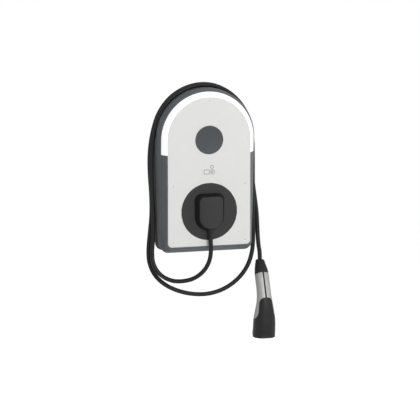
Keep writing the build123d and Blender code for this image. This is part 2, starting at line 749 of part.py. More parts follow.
def half_space(z, tilt, above):
    """Large block above or below a plane through height z, tilted about X."""
    size = 300.0
    side = 1 if above else -1
    place = Pos(PLUG_X, grip_middle_y(z), z) * Rot(tilt, 0, 0)
    return place * Pos(0, 0, side * size / 2) * Box(size, size, size)


def grip_middle_y(z):
    """Middle Y of the connector at a height, between its sections."""
    for (z0, y0, _, _), (z1, y1, _, _) in zip(PLUG_SECTIONS, PLUG_SECTIONS[1:]):
        if z1 <= z <= z0:
            return y0 + (y1 - y0) * (z0 - z) / (z0 - z1)
    return PLUG_SECTIONS[-1][1]


def cover_prism():
    """Arched prism in front of the connector's middle."""
    right = [(PLUG_X + x, z) for x, z in COVER_SIDE]
    left = [(PLUG_X - x, z) for x, z in reversed(COVER_SIDE)]
    sides = Polyline(*right) + Polyline(*left) + Polyline(left[-1], right[0])
    crown = ThreePointArc(right[-1], (PLUG_X, COVER_CROWN_Z), left[0])
    face = make_face(sides + crown)
    near = -grip_middle_y(COVER_CROWN_Z)
    return slab(face, near, near + 80)


def make_connector():
    outer = plug_body()
    skin = outer - plug_body(PLUG_SKIN)
    boot = outer & half_space(GRIP_TOP_Z, GRIP_TILT, True)
    below_boot = half_space(GRIP_TOP_Z, GRIP_TILT, False)
    nose_box = half_space(NOSE_TOP_Z, 0, False)
    grip = (skin & below_boot) - nose_box
    nose_cover = grip & cover_prism()
    grip -= cover_prism()
    span = 300.0
    seam = Pos(PLUG_X, 0, GRIP_TOP_Z) * Box(2 * PLUG_SEAM, span, 2 * span)
    left = Pos(PLUG_X - PLUG_SEAM - span / 2, 0, GRIP_TOP_Z) * Box(span, span, 2 * span)
    right = Pos(PLUG_X + PLUG_SEAM + span / 2, 0, GRIP_TOP_Z) * Box(span, span, 2 * span)
    save(boot, "connector_boot")
    save(grip & left, "grip_shell_left")
    save(grip & right, "grip_shell_right")
    save(grip & seam, "grip_seam")
    save(nose_cover, "nose_cover")
    nose = skin & nose_box
    save(nose, "nose_shell")
    bottom = PLUG_SECTIONS[-1][0] + CARRIER_RECESS
    carrier = plug_body(PLUG_SKIN) & half_space(CARRIER_TOP_Z, 0, False)
    carrier -= half_space(bottom, 0, False)
    pins = []
    for x, y, radius in pin_places():
        hole = Pos(x, y, bottom + PIN_LONG / 2) * Cylinder(radius, PIN_LONG)
        carrier -= hole
        pins.append(hole - Pos(x, y, bottom + PIN_LONG / 2) * Cylinder(PIN_BORE_R, PIN_LONG))
    save(carrier, "contact_carrier")
    save(group(pins), "contacts")


def pin_places():
    """Seven contacts: five of the power circuit in an arc and two small ones above."""
    y0 = PLUG_SECTIONS[-1][1]
    power = [(PLUG_X + PIN_RING * cos(radians(a)), y0 + PIN_RING * sin(radians(a)), PIN_R)
             for a in (0, 90, 180, 235, 305)]
    return power + [(PLUG_X, y0, SMALL_PIN_R), (PLUG_X + PIN_RING * 1.4, y0 + PIN_RING, SMALL_PIN_R)]


save(make_wall_bracket(), "wall_bracket")
save(make_bracket_screws(), "bracket_screws")
save(make_rear_base(), "rear_base")
save(make_supply_grommet(), "supply_grommet")
save(make_mounting_rail(), "mounting_rail")
save(make_rail_screws(), "rail_screws")
contactor_x, meter_x, sensor_x, _ = device_places()
save(rail_device(contactor_x, CONTACTOR_W, DEVICE_HIGH, DEVICE_DEEP),
     "contactor")
save(rail_device(meter_x, METER_W, DEVICE_HIGH, DEVICE_DEEP),
     "energy_meter")
save(rail_device(sensor_x, SENSOR_W, DEVICE_HIGH, DEVICE_DEEP),
     "residual_current_sensor")
save(make_terminal_block(), "terminal_block")
save(make_control_board(), "control_board")
save(make_board_screws(), "board_screws")
save(make_power_supply(), "power_supply")
save(make_board_sockets(), "board_sockets")
save(make_inner_cover(), "inner_cover")
save(make_cover_screws(), "cover_screws")
save(make_front_frame(), "front_frame")
save(make_light_diffuser(), "light_diffuser")
save(make_led_board(), "led_board")
save(make_leds(), "leds")
save(make_front_panel(), "front_panel")
save(make_panel_screws(), "panel_screws")
save(make_reader_window(), "reader_window")
save(make_reader_board(), "reader_board")
save(make_outlet_cover(), "outlet_cover")
save(make_retaining_ring(), "retaining_ring")
save(make_cable_boot(), "cable_boot")
save(make_lead_inside(), "lead_inside")
save(make_cable_clamp(), "cable_clamp")
save(make_charging_cord(), "charging_cord")
make_connector()
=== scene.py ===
import json
import math

import bmesh
import bpy
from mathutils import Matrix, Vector


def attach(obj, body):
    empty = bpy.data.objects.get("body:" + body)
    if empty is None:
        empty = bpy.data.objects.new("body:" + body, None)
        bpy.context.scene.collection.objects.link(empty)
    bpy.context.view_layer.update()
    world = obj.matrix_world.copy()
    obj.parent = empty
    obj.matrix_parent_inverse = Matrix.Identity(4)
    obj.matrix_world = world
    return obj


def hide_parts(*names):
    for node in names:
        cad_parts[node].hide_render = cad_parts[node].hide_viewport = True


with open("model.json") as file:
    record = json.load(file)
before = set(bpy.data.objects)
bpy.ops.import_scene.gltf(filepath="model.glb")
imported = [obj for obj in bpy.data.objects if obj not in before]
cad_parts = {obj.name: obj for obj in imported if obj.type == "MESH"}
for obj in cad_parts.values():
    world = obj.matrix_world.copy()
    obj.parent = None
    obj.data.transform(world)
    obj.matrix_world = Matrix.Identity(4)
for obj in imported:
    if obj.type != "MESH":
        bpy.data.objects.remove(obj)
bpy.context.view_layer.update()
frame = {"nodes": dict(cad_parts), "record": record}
nodes = frame["nodes"]

# Camera, fitted to the photograph: distances in metres, angles in degrees
CAMERA_TARGET = Vector((0.002, -0.101, -0.1157))
CAMERA_YAW = 15.7
CAMERA_RISE = 10.24
CAMERA_DISTANCE = 11.17
CAMERA_LENS = 322.2
SENSOR = 36.0

# The lead
CORD_R = 0.0065
# Centre line of the lead from the hood to the connector, the same points as the solid's
CORD_POINTS = [
    (0, -.115, -.178), (0, -.115, -.206), (.002, -.114, -.238), (-.002, -.110, -.270),
    (-.017, -.103, -.300), (-.044, -.093, -.323), (-.078, -.082, -.332), (-.111, -.071, -.3305),
    (-.1435, -.061, -.3117), (-.1615, -.051, -.279), (-.1615, -.043, -.242),
    (-.1555, -.0375, -.195), (-.1542, -.0353, -.140), (-.158, -.035, -.080),
    (-.1602, -.035, -.015), (-.1605, -.035, .050), (-.153, -.035, .112), (-.134, -.035, .175),
    (-.0905, -.035, .225), (-.030, -.035, .2515), (.034, -.035, .2505), (.091, -.035, .220),
    (.133, -.035, .168), (.1505, -.035, .105), (.1535, -.035, .042), (.1535, -.035, -.030),
    (.154, -.035, -.100), (.1545, -.035, -.160), (.1555, -.0355, -.215), (.152, -.037, -.262),
    (.137, -.039, -.305), (.108, -.041, -.341), (.066, -.042, -.369), (.017, -.043, -.3825),
    (-.033, -.043, -.381), (-.080, -.041, -.369), (-.121, -.038, -.3485), (-.152, -.033, -.318),
    (-.167, -.028, -.280), (-.168, -.025, -.240), (-.162, -.022, -.190), (-.156, -.021, -.135),
    (-.157, -.021, -.075), (-.162, -.021, -.010), (-.1625, -.021, .050), (-.154, -.021, .112),
    (-.134, -.021, .175), (-.0905, -.021, .225), (-.030, -.021, .2515), (.034, -.021, .2505),
    (.091, -.021, .220), (.133, -.021, .168), (.151, -.021, .105), (.1525, -.021, .040),
    (.1535, -.021, -.020), (.161, -.022, -.080), (.169, -.024, -.140), (.1705, -.027, -.192),
    (.172, -.032, -.240), (.176, -.036, -.264), (.176, -.036, -.287),
]


def make_camera():
    yaw = math.radians(CAMERA_YAW)
    rise = math.radians(CAMERA_RISE)
    back = Vector((-math.sin(yaw) * math.cos(rise), -math.cos(yaw) * math.cos(rise),
                   math.sin(rise)))
    data = bpy.data.cameras.new("camera")
    data.lens = CAMERA_LENS
    data.sensor_width = SENSOR
    data.clip_end = 100
    camera = bpy.data.objects.new("camera", data)
    camera.location = CAMERA_TARGET + CAMERA_DISTANCE * back
    camera.rotation_euler = back.to_track_quat("Z", "Y").to_euler()
    bpy.context.scene.collection.objects.link(camera)
    bpy.context.scene.camera = camera


# Materials: every pattern is in metres, from each object's own coordinates
def new_material(name):
    material = bpy.data.materials.new(name)
    material.use_nodes = True
    tree = material.node_tree
    shader = tree.nodes["Principled BSDF"]
    place = tree.nodes.new("ShaderNodeTexCoord")
    return material, tree, shader, place.outputs["Object"]


def noise(tree, place, size, detail=3.0, rough=0.6, stretch=None):
    """Noise whose largest feature is about size metres."""
    node = tree.nodes.new("ShaderNodeTexNoise")
    node.inputs["Scale"].default_value = 1 / size
    node.inputs["Detail"].default_value = detail
    node.inputs["Roughness"].default_value = rough
    if stretch:
        mapping = tree.nodes.new("ShaderNodeMapping")
        mapping.inputs["Scale"].default_value = stretch
        tree.links.new(place, mapping.inputs["Vector"])
        place = mapping.outputs["Vector"]
    tree.links.new(place, node.inputs["Vector"])
    return node.outputs["Fac"]


def ramp(tree, value, low, high, start=0.3, end=0.7):
    """Maps a 0 to 1 pattern onto low to high."""
    node = tree.nodes.new("ShaderNodeMapRange")
    node.inputs["From Min"].default_value = start
    node.inputs["From Max"].default_value = end
    node.inputs["To Min"].default_value = low
    node.inputs["To Max"].default_value = high
    tree.links.new(value, node.inputs["Value"])
    return node.outputs["Result"]


def tint(tree, value, dark, light):
    """Mixes two colours by a pattern."""
    node = tree.nodes.new("ShaderNodeMix")
    node.data_type = "RGBA"
    node.inputs["A"].default_value = (*dark, 1)
    node.inputs["B"].default_value = (*light, 1)
    tree.links.new(value, node.inputs["Factor"])
    return node.outputs["Result"]


def bump(tree, height, distance):
    node = tree.nodes.new("ShaderNodeBump")
    node.inputs["Distance"].default_value = distance
    tree.links.new(height, node.inputs["Height"])
    return node.outputs["Normal"]


def shade(colour, factor):
    return tuple(min(1.0, c * factor) for c in colour)


def edge_mask(tree, start=0.505, end=0.56):
    """1 on convex edges, 0 elsewhere."""
    geometry = tree.nodes.new("ShaderNodeNewGeometry")
    return ramp(tree, geometry.outputs["Pointiness"], 0.0, 1.0, start, end)


def moulded(name, colour, roughness, grain=0.0006, depth=0.00003, specular=0.4, mottle=0.06,
            wear=0.25, side_shade=1.0):
    """Moulded plastic: fine grain, slight mottling, paler rubbed edges, and painted shade that
    darkens surfaces facing sideways.
    """
    material, tree, shader, place = new_material(name)
    broad = ramp(tree, noise(tree, place, 0.06), 0.0, 1.0)
    body = tint(tree, broad, shade(colour, 1 - mottle), shade(colour, 1 + mottle))
    mix = tree.nodes.new("ShaderNodeMix")
    mix.data_type = "RGBA"
    mix.inputs["B"].default_value = (*shade(colour, 1 + 2 * wear), 1)
    tree.links.new(body, mix.inputs["A"])
    worn = tree.nodes.new("ShaderNodeMath")
    worn.operation = "MULTIPLY"
    tree.links.new(edge_mask(tree), worn.inputs[0])
    tree.links.new(ramp(tree, noise(tree, place, 0.01), 0.0, 1.0), worn.inputs[1])
    tree.links.new(worn.outputs[0], mix.inputs["Factor"])
    skin = mix.outputs["Result"]
    # Painted shade: surfaces that face sideways rather than to the front get a darker copy of the
    # colour.
    if side_shade < 1.0:
        facing = tree.nodes.new("ShaderNodeSeparateXYZ")
        geometry = tree.nodes.new("ShaderNodeNewGeometry")
        tree.links.new(geometry.outputs["Normal"], facing.inputs[0])
        deep = tree.nodes.new("ShaderNodeMix")
        deep.data_type = "RGBA"
        deep.inputs["A"].default_value = (*shade(colour, side_shade), 1)
        tree.links.new(skin, deep.inputs["B"])
        tree.links.new(ramp(tree, facing.outputs["Y"], 1.0, 0.0, -0.85, -0.45),
                       deep.inputs["Factor"])
        skin = deep.outputs["Result"]
    tree.links.new(skin, shader.inputs["Base Color"])
    fine = noise(tree, place, grain, detail=2.0)
    tree.links.new(ramp(tree, noise(tree, place, 0.02), roughness - 0.05, roughness + 0.05),
                   shader.inputs["Roughness"])
    tree.links.new(bump(tree, fine, depth), shader.inputs["Normal"])
    shader.inputs["Specular IOR Level"].default_value = specular
    return material


def metal(name, colour, roughness, brushed=(1, 1, 1), grain=0.0008, depth=0.00001, metallic=1.0):
    """Plated or lacquered metal with a faint directional grain."""
    material, tree, shader, place = new_material(name)
    broad = ramp(tree, noise(tree, place, 0.015), 0.0, 1.0)
    tree.links.new(tint(tree, broad, shade(colour, 0.9), shade(colour, 1.05)),
                   shader.inputs["Base Color"])
    fine = noise(tree, place, grain, stretch=brushed)
    tree.links.new(ramp(tree, fine, roughness - 0.07, roughness + 0.07),
                   shader.inputs["Roughness"])
    tree.links.new(bump(tree, fine, depth), shader.inputs["Normal"])
    shader.inputs["Metallic"].default_value = metallic
    return material


def glowing(name, colour, strength):
    """Milky acrylic that carries light: soft cloudiness in its own glow."""
    material, tree, shader, place = new_material(name)
    cloud = ramp(tree, noise(tree, place, 0.03), 0.0, 1.0)
    tree.links.new(tint(tree, cloud, shade(colour, 0.985), colour), shader.inputs["Base Color"])
    tree.links.new(tint(tree, cloud, shade(colour, 0.97), colour),
                   shader.inputs["Emission Color"])
    tree.links.new(ramp(tree, noise(tree, place, 0.004), 0.22, 0.3), shader.inputs["Roughness"])
    tree.links.new(bump(tree, noise(tree, place, 0.001), 0.000004), shader.inputs["Normal"])
    shader.inputs["Emission Strength"].default_value = strength
    return material


def cable_sheath(name, colour, roughness):
    """Extruded rubber sheath: faint fine bumps and scuffs."""
    material, tree, shader, place = new_material(name)
    scuff = ramp(tree, noise(tree, place, 0.012, detail=5.0), 0.0, 1.0, 0.45, 0.75)
    tree.links.new(tint(tree, scuff, colour, shade(colour, 1.5)), shader.inputs["Base Color"])
    tree.links.new(ramp(tree, noise(tree, place, 0.006), roughness - 0.06, roughness + 0.08),
                   shader.inputs["Roughness"])
    fine = noise(tree, place, 0.0009, detail=3.0)
    tree.links.new(bump(tree, fine, 0.00003), shader.inputs["Normal"])
    shader.inputs["Specular IOR Level"].default_value = 0.22
    return material


def plane_mask(tree, place, point, tilt, soft=0.0004):
    """1 below a plane through point that is tilted about X, 0 above it."""
    along = tree.nodes.new("ShaderNodeVectorMath")
    along.operation = "DOT_PRODUCT"
    normal = (0, -math.sin(tilt), math.cos(tilt))
    along.inputs[1].default_value = normal
    tree.links.new(place, along.inputs[0])
    level = sum(a * b for a, b in zip(point, normal))
    return ramp(tree, along.outputs["Value"], 1.0, 0.0, level - soft, level + soft)


def combine(tree, first, second, operation="MULTIPLY"):
    """One sum on two values or patterns, a product unless another is named."""
    node = tree.nodes.new("ShaderNodeMath")
    node.operation = operation
    for socket, value in zip(node.inputs, (first, second)):
        if isinstance(value, float):
            socket.default_value = value
        else:
            tree.links.new(value, socket)
    return node.outputs[0]


def outside_cover(tree, split, aside):
    """0 where the arched cover lies on the front of the shells, 1 elsewhere."""
    crown = combine(tree, combine(tree, combine(tree, aside, COVER_HEAD_HALF, "DIVIDE"), 4.0,
                                  "POWER"), COVER_DROP)
    crown = combine(tree, crown, split.outputs["Z"], "ADD")
    side = combine(tree, aside, combine(tree, split.outputs["Z"], COVER_FLARE), "ADD")
    limit = COVER_HEAD_HALF + COVER_FLARE * COVER_CROWN_Z
    inside = combine(tree, ramp(tree, crown, 1.0, 0.0, COVER_CROWN_Z, COVER_CROWN_Z + 0.0004),
                     ramp(tree, side, 1.0, 0.0, limit, limit + 0.0003))
    inside = combine(tree, inside, ramp(tree, split.outputs["Y"], 1.0, 0.0, -0.0905, -0.0895))
    return combine(tree, 1.0, inside, "SUBTRACT")


def connector_skin(name, black, silver):
    """Black boot above a tilted edge, silver lacquer below it, black seam and cover."""
    material, tree, shader, place = new_material(name)
    below = plane_mask(tree, place, BOOT_EDGE, BOOT_TILT)
    split = tree.nodes.new("ShaderNodeSeparateXYZ")
    tree.links.new(place, split.inputs[0])
    aside = combine(tree, combine(tree, split.outputs["X"], BOOT_EDGE[0], "SUBTRACT"), 0.0,
                    "ABSOLUTE")
    off_seam = ramp(tree, aside, 0.0, 1.0, SEAM_HALF, SEAM_HALF + 0.0003)
    below = combine(tree, below, off_seam)
    below = combine(tree, below, outside_cover(tree, split, aside))
    broad = ramp(tree, noise(tree, place, 0.015), 0.0, 1.0)
    dark = tint(tree, broad, black, shade(black, 1.3))
    pale = tint(tree, broad, shade(silver, 0.95), silver)
    mix = tree.nodes.new("ShaderNodeMix")
    mix.data_type = "RGBA"
    tree.links.new(below, mix.inputs["Factor"])
    tree.links.new(dark, mix.inputs["A"])
    tree.links.new(pale, mix.inputs["B"])
    tree.links.new(mix.outputs["Result"], shader.inputs["Base Color"])
    tree.links.new(ramp(tree, below, 0.62, 0.42, 0.0, 1.0), shader.inputs["Roughness"])
    tree.links.new(ramp(tree, below, 0.0, 0.2, 0.0, 1.0), shader.inputs["Metallic"])
    tree.links.new(bump(tree, noise(tree, place, 0.0008), 0.00002), shader.inputs["Normal"])
    shader.inputs["Specular IOR Level"].default_value = 0.3
    return material


def frame_skin(name, base):
    """The housing's own material, with a painted glow on the frame's lip along the panel, where the
    light band's light falls on it.
    """
    material = base.copy()
    material.name = name
    tree = material.node_tree
    shader = tree.nodes["Principled BSDF"]
    place = tree.nodes.new("ShaderNodeTexCoord").outputs["Object"]
    split = tree.nodes.new("ShaderNodeSeparateXYZ")
    tree.links.new(place, split.inputs[0])
    up = combine(tree, combine(tree, split.outputs["Z"], ARCH_Z, "SUBTRACT"), 0.0, "MAXIMUM")
    across = combine(tree, split.outputs["X"], 2.0, "POWER")
    radius = combine(tree, combine(tree, across, combine(tree, up, 2.0, "POWER"), "ADD"), 0.5,
                     "POWER")
    lit = combine(tree, ramp(tree, radius, 1.0, 0.0, LIT_EDGE, LIT_EDGE + 0.0002),
                  ramp(tree, split.outputs["Z"], 0.0, 1.0, BAND_FOOT_Z, BAND_FOOT_Z + 0.0002))
    front = ramp(tree, split.outputs["Y"], 1.0, 0.0, -LIT_REACH, -LIT_REACH + 0.001)
    lit = combine(tree, lit, front)
    # Painted light: the frame's front lip inside the band's arch, above its foot, glows though the
    # frame is no lamp.
    shader.inputs["Emission Color"].default_value = (0.9, 0.9, 0.9, 1)
    tree.links.new(lit, shader.inputs["Emission Strength"])
    return material


def circuit_board(name, colour, line):
    """Solder mask over copper tracks, with a fine weave under it."""
    material, tree, shader, place = new_material(name)
    brick = tree.nodes.new("ShaderNodeTexBrick")
    brick.inputs["Scale"].default_value = 90
    brick.inputs["Mortar Size"].default_value = 0.04
    brick.inputs["Color1"].default_value = (*colour, 1)
    brick.inputs["Color2"].default_value = (*shade(colour, 1.15), 1)
    brick.inputs["Mortar"].default_value = (*line, 1)
    swap = tree.nodes.new("ShaderNodeMapping")
    swap.inputs["Rotation"].default_value = (math.radians(90), 0, 0)
    tree.links.new(place, swap.inputs["Vector"])
    tree.links.new(swap.outputs["Vector"], brick.inputs["Vector"])
    tree.links.new(brick.outputs["Color"], shader.inputs["Base Color"])
    tree.links.new(ramp(tree, noise(tree, place, 0.01), 0.3, 0.42), shader.inputs["Roughness"])
    tree.links.new(bump(tree, noise(tree, place, 0.0008), 0.00002), shader.inputs["Normal"])
    return material


# Connector: where the boot meets the silver shells, the seam between them, and the cover
BOOT_EDGE = (0.176, -0.056, -0.3305)
BOOT_TILT = math.radians(-38)
SEAM_HALF = 0.0023
COVER_CROWN_Z = -0.3905
COVER_HEAD_HALF = 0.0185
COVER_DROP = 0.010
COVER_FLARE = 0.12
# Light band: the arch's centre, the band's foot, and the frame's lip between panel and band, which
# gets a painted glow
ARCH_Z = 0.095
BAND_FOOT_Z = 0.053
LIT_EDGE = 0.1290
LIT_REACH = 0.0965

MATERIALS = {
    "steel_zinc": metal("steel_zinc", (0.62, 0.63, 0.64), 0.38, brushed=(1, 1, 8)),
    "screw_steel": metal("screw_steel", (0.50, 0.50, 0.50), 0.4),
    "grey_housing": moulded("grey_housing", (0.130, 0.143, 0.153), 0.55, mottle=0.03,
                           specular=0.3),
    "base_housing": moulded("base_housing", (0.115, 0.122, 0.126), 0.55, mottle=0.015,
                           specular=0.3),
    "white_panel": moulded("white_panel", (0.80, 0.80, 0.785), 0.42, grain=0.0004,
                           depth=0.00001, mottle=0.012, wear=0.0),
    "diffuser": glowing("diffuser", (0.90, 0.90, 0.90), 0.55),
    # The cover's side walls get painted shade, darkened to 0.22 of the colour.
    "black_cover": moulded("black_cover", (0.046, 0.046, 0.046), 0.6, mottle=0.02,
                          specular=0.12, wear=0.15, side_shade=0.22),
    "window_grey": moulded("window_grey", (0.056, 0.063, 0.068), 0.45, depth=0.00001,
                          mottle=0.02, specular=0.3),
    "cable_black": cable_sheath("cable_black", (0.009, 0.009, 0.009), 0.52),
    "boot_black": cable_sheath("boot_black", (0.016, 0.016, 0.016), 0.6),
    "grip_silver": metal("grip_silver", (0.47, 0.47, 0.46), 0.42, metallic=0.2),
    "nose_black": moulded("nose_black", (0.009, 0.009, 0.009), 0.5, specular=0.25),
    "contact_silver": metal("contact_silver", (0.75, 0.73, 0.68), 0.25),
    "board_green": circuit_board("board_green", (0.02, 0.12, 0.06), (0.05, 0.22, 0.10)),
    "board_white": circuit_board("board_white", (0.72, 0.72, 0.70), (0.60, 0.60, 0.58)),
    "led_body": glowing("led_body", (0.85, 0.83, 0.70), 0.6),
    "device_grey": moulded("device_grey", (0.55, 0.56, 0.56), 0.5, mottle=0.03, wear=0.1),
    "device_dark": moulded("device_dark", (0.05, 0.05, 0.055), 0.5),
    "terminal_grey": moulded("terminal_grey", (0.40, 0.41, 0.42), 0.5, mottle=0.03, wear=0.1),
    "grommet_rubber": cable_sheath("grommet_rubber", (0.03, 0.03, 0.03), 0.65),
    "print_grey": moulded("print_grey", (0.33, 0.33, 0.33), 0.5, mottle=0.03, wear=0.0),
    "cover_grey": moulded("cover_grey", (0.30, 0.31, 0.32), 0.5),
}
SPECIAL = {
    "front_frame": frame_skin("frame_skin", MATERIALS["grey_housing"]),
    "connector_boot": connector_skin("connector_skin", (0.014, 0.014, 0.014),
                                     (0.47, 0.47, 0.46)),
}
for shell in ("grip_shell_left", "grip_shell_right"):
    SPECIAL[shell] = SPECIAL["connector_boot"]


def dress_nodes():
    """Gives every CAD node the material of its slot."""
    for row in frame["record"]["subparts"]:
        solid = nodes[row["node"]]
        solid.data.materials.clear()
        solid.data.materials.append(SPECIAL.get(row["node"], MATERIALS[row["material_slot"]]))


# The scene's own meshes
def loop_faces(first, loops, count, skip=()):
    """Quads between each loop and the next, and between the last and the first."""
    faces = []
    for k in range(loops):
        if k in skip:
            continue
        here = first + k * count
        after = first + (k + 1) % loops * count
        faces += [(here + i, here + (i + 1) % count, after + (i + 1) % count, after + i)
                  for i in range(count)]
    return faces


def closed_mesh(name, points, faces):
    """Mesh with its normals turned outward."""
    mesh = bpy.data.meshes.new(name + "_mesh")
    mesh.from_pydata(points, [], faces)
    mesh.validate()
    body = bmesh.new()
    body.from_mesh(mesh)
    bmesh.ops.recalc_face_normals(body, faces=body.faces)
    body.to_mesh(mesh)
    body.free()
    return mesh


def add_piece(name, mesh):
    piece = bpy.data.objects.new(name, mesh)
    bpy.context.scene.collection.objects.link(piece)
    return piece


def finish_piece(piece, material, smooth=True):
    """Shades a piece, gives it its material and lets it ride on the body."""
    if smooth:
        piece.data.shade_smooth()
        piece.data.set_sharp_from_angle(angle=math.radians(35))
    piece.data.materials.clear()
    piece.data.materials.append(MATERIALS[material])
    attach(piece, "root")


# Collars of the connector's boot: the boot's own sections (height, middle Y, width, depth), and
# how far the collars stand out of them at each height
BOOT_SECTIONS = [(-0.287, -0.036, 0.020, 0.020), (-0.302, -0.043, 0.030, 0.030),
                 (-0.318, -0.0515, 0.0395, 0.0375)]
COLLAR_PROFILE = [(-0.2872, 0.0014), (-0.2880, 0.0023), (-0.2940, 0.0023), (-0.2942, 0.0009),
                  (-0.2962, 0.0009), (-0.2964, 0.0018), (-0.3034, 0.0016), (-0.3036, 0.0007),
                  (-0.3056, 0.0007), (-0.3058, 0.0013), (-0.3130, 0.0009), (-0.3165, 0.0004)]
COLLAR_BORE = 0.0002
CORNER_SHARE = 0.46


def boot_ring(z, grow):
    """Rounded rectangle round the boot at height z, grown by grow."""
    for (z0, y0, w0, d0), (z1, y1, w1, d1) in zip(BOOT_SECTIONS, BOOT_SECTIONS[1:]):
        if z1 <= z <= z0:
            break
    share = (z0 - z) / (z0 - z1)
    middle = y0 + share * (y1 - y0)
    wide = w0 + share * (w1 - w0)
    deep = d0 + share * (d1 - d0)
    corner = CORNER_SHARE * min(wide, deep)
    ring = []
    for sx, sy, start in ((1, 1, 0), (-1, 1, 90), (-1, -1, 180), (1, -1, 270)):
        for i in range(13):
            angle = math.radians(start + 7.5 * i)
            ring.append((BOOT_EDGE[0] + sx * (wide / 2 - corner) + (corner + grow) * math.cos(angle),
                         middle + sy * (deep / 2 - corner) + (corner + grow) * math.sin(angle), z))
    return ring


def make_boot_collars():
    loops = [boot_ring(z, grow) for z, grow in COLLAR_PROFILE]
    loops += [boot_ring(z, COLLAR_BORE) for z, _ in reversed(COLLAR_PROFILE)]
    faces = loop_faces(0, len(loops), len(loops[0]))
    points = [point for loop in loops for point in loop]
    collars = add_piece("boot_collars", closed_mesh("boot_collars", points, faces))
    finish_piece(collars, "boot_black")
    return collars


def make_cord(collars):
    curve = bpy.data.curves.new("lead_curve", "CURVE")
    curve.dimensions = "3D"
    curve.resolution_u = 12
    curve.bevel_depth = CORD_R
    curve.bevel_resolution = 6
    line = curve.splines.new("NURBS")
    line.points.add(len(CORD_POINTS) - 1)
    for point, place in zip(line.points, CORD_POINTS):
        point.co = (*place, 1)
    line.order_u = 3
    line.use_endpoint_u = True
    lead = bpy.data.objects.new("charging_lead", curve)
    bpy.context.scene.collection.objects.link(lead)
    curve.materials.append(MATERIALS["cable_black"])
    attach(lead, "root")
    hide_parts("charging_cord")


# Outlet cover: round plate with its spigot, and a hood with a U-shaped foot
OUTLET_Z = -0.120
PLATE_BACK = 0.100
PLATE_FRONT = 0.1015
HOOD_REACH = 0.131
HOOD_CROWN_R = 0.100
HOOD_WALL = 0.003
HOOD_EDGE = 0.003
# At its root and at its front: half width, top, bottom, upper corner, lower corner
HOOD_ROOT = (0.0455, 0.0546, -0.0565, 0.020, 0.042)
HOOD_FACE = (0.0370, 0.0489, -0.0480, 0.016, 0.034)
BOOT_HOLE = (0.0, -0.115, -0.178)
BOOT_HOLE_R = 0.0078
CORNER_STEPS = 14
SIDE_STEPS = 5


def hood_outline(half, top, bottom, upper, lower, inset=0.0):
    """Points of the rounded outline, as (x, z) round the outlet's middle."""
    corners = [(half - upper, top - upper, upper, 0), (upper - half, top - upper, upper, 90),
               (lower - half, bottom + lower, lower, 180),
               (half - lower, bottom + lower, lower, 270)]
    points = []
    for x, z, radius, start in corners:
        for i in range(CORNER_STEPS + 1):
            angle = math.radians(start + 90 * i / CORNER_STEPS)
            points.append((x + (radius - inset) * math.cos(angle),
                           z + (radius - inset) * math.sin(angle)))
    full = []
    for i, (x, z) in enumerate(points):
        full.append((x, z))
        if i % (CORNER_STEPS + 1) == CORNER_STEPS:
            nx, nz = points[(i + 1) % len(points)]
            full += [(x + (nx - x) * k / SIDE_STEPS, z + (nz - z) * k / SIDE_STEPS)
                     for k in range(1, SIDE_STEPS)]
    return full


def crown_reach(x, inset=0.0):
    return HOOD_REACH - inset - HOOD_CROWN_R + math.sqrt(HOOD_CROWN_R ** 2 - x * x)


def hood_loops(root_reach, inset):
    """Loops from the hood's root to the middle of its front, inset from its outer skin."""
    loops = []
    for share in (0.0, 0.25, 0.5, 0.75, 1.0):
        shape = [a + share * (b - a) for a, b in zip(HOOD_ROOT, HOOD_FACE)]
        ring = hood_outline(*shape, inset)
        loops.append([(x, -(root_reach + share * (crown_reach(x, inset) - HOOD_EDGE
                                                  - root_reach)), z) for x, z in ring])
    for step in range(1, 6):
        turn = math.radians(90 * step / 5)
        ring = hood_outline(*HOOD_FACE, inset + HOOD_EDGE * (1 - math.cos(turn)))
        loops.append([(x, -(crown_reach(x, inset) - HOOD_EDGE * (1 - math.sin(turn))), z)
                      for x, z in ring])
    for share in (0.8, 0.6, 0.4, 0.2, 0.02):
        loops.append([(share * x, -crown_reach(share * x, inset), share * z) for x, z in ring])
    return loops


def make_outlet_cover():
    inner = hood_loops(PLATE_BACK, HOOD_WALL)
    outer = hood_loops(PLATE_FRONT, 0.0)
    aim = [math.atan2(z, x) for x, _, z in outer[0]]
    plate = [(0.075, 0.100), (0.075, 0.091), (0.078, 0.091), (0.078, 0.100), (0.086, 0.100),
             (0.086, 0.1008), (0.0858, 0.1012), (0.0852, 0.1015), (0.0800, 0.1015)]
    loops = [inner[0]]
    loops += [[(r * math.cos(a), -reach, r * math.sin(a)) for a in aim] for r, reach in plate]
    loops += outer
    loops += inner[:0:-1]
    count = len(aim)
    points = [(x, y, z + OUTLET_Z) for loop in loops for x, y, z in loop]
    seam = len(plate) + len(outer)
    faces = loop_faces(0, len(loops), count, skip=(seam,))
    faces.append([seam * count + i for i in range(count)])
    faces.append([(seam + 1) * count + i for i in reversed(range(count))])
    cover = add_piece("outlet_cover_hood", closed_mesh("outlet_cover_hood", points, faces))
    cut_boot_hole(cover)
    finish_piece(cover, "black_cover")
    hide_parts("outlet_cover")


def cut_boot_hole(cover):
    """Hole in the hood's foot that the lead's boot comes through."""
    mesh = bpy.data.meshes.new("boot_hole")
    body = bmesh.new()
    bmesh.ops.create_cone(body, cap_ends=True, segments=48, radius1=BOOT_HOLE_R,
                          radius2=BOOT_HOLE_R, depth=0.040)
    body.to_mesh(mesh)
    body.free()
    cutter = add_piece("boot_hole", mesh)
    cutter.location = BOOT_HOLE
    cut = cover.modifiers.new("boot_hole", "BOOLEAN")
    cut.object = cutter
    cut.operation = "DIFFERENCE"
    cut.solver = "EXACT"
    bpy.context.view_layer.update()
    shaped = cover.evaluated_get(bpy.context.evaluated_depsgraph_get())
    result = bpy.data.meshes.new_from_object(shaped)
    cover.modifiers.clear()
    cover.data = result
    bpy.data.objects.remove(cutter)


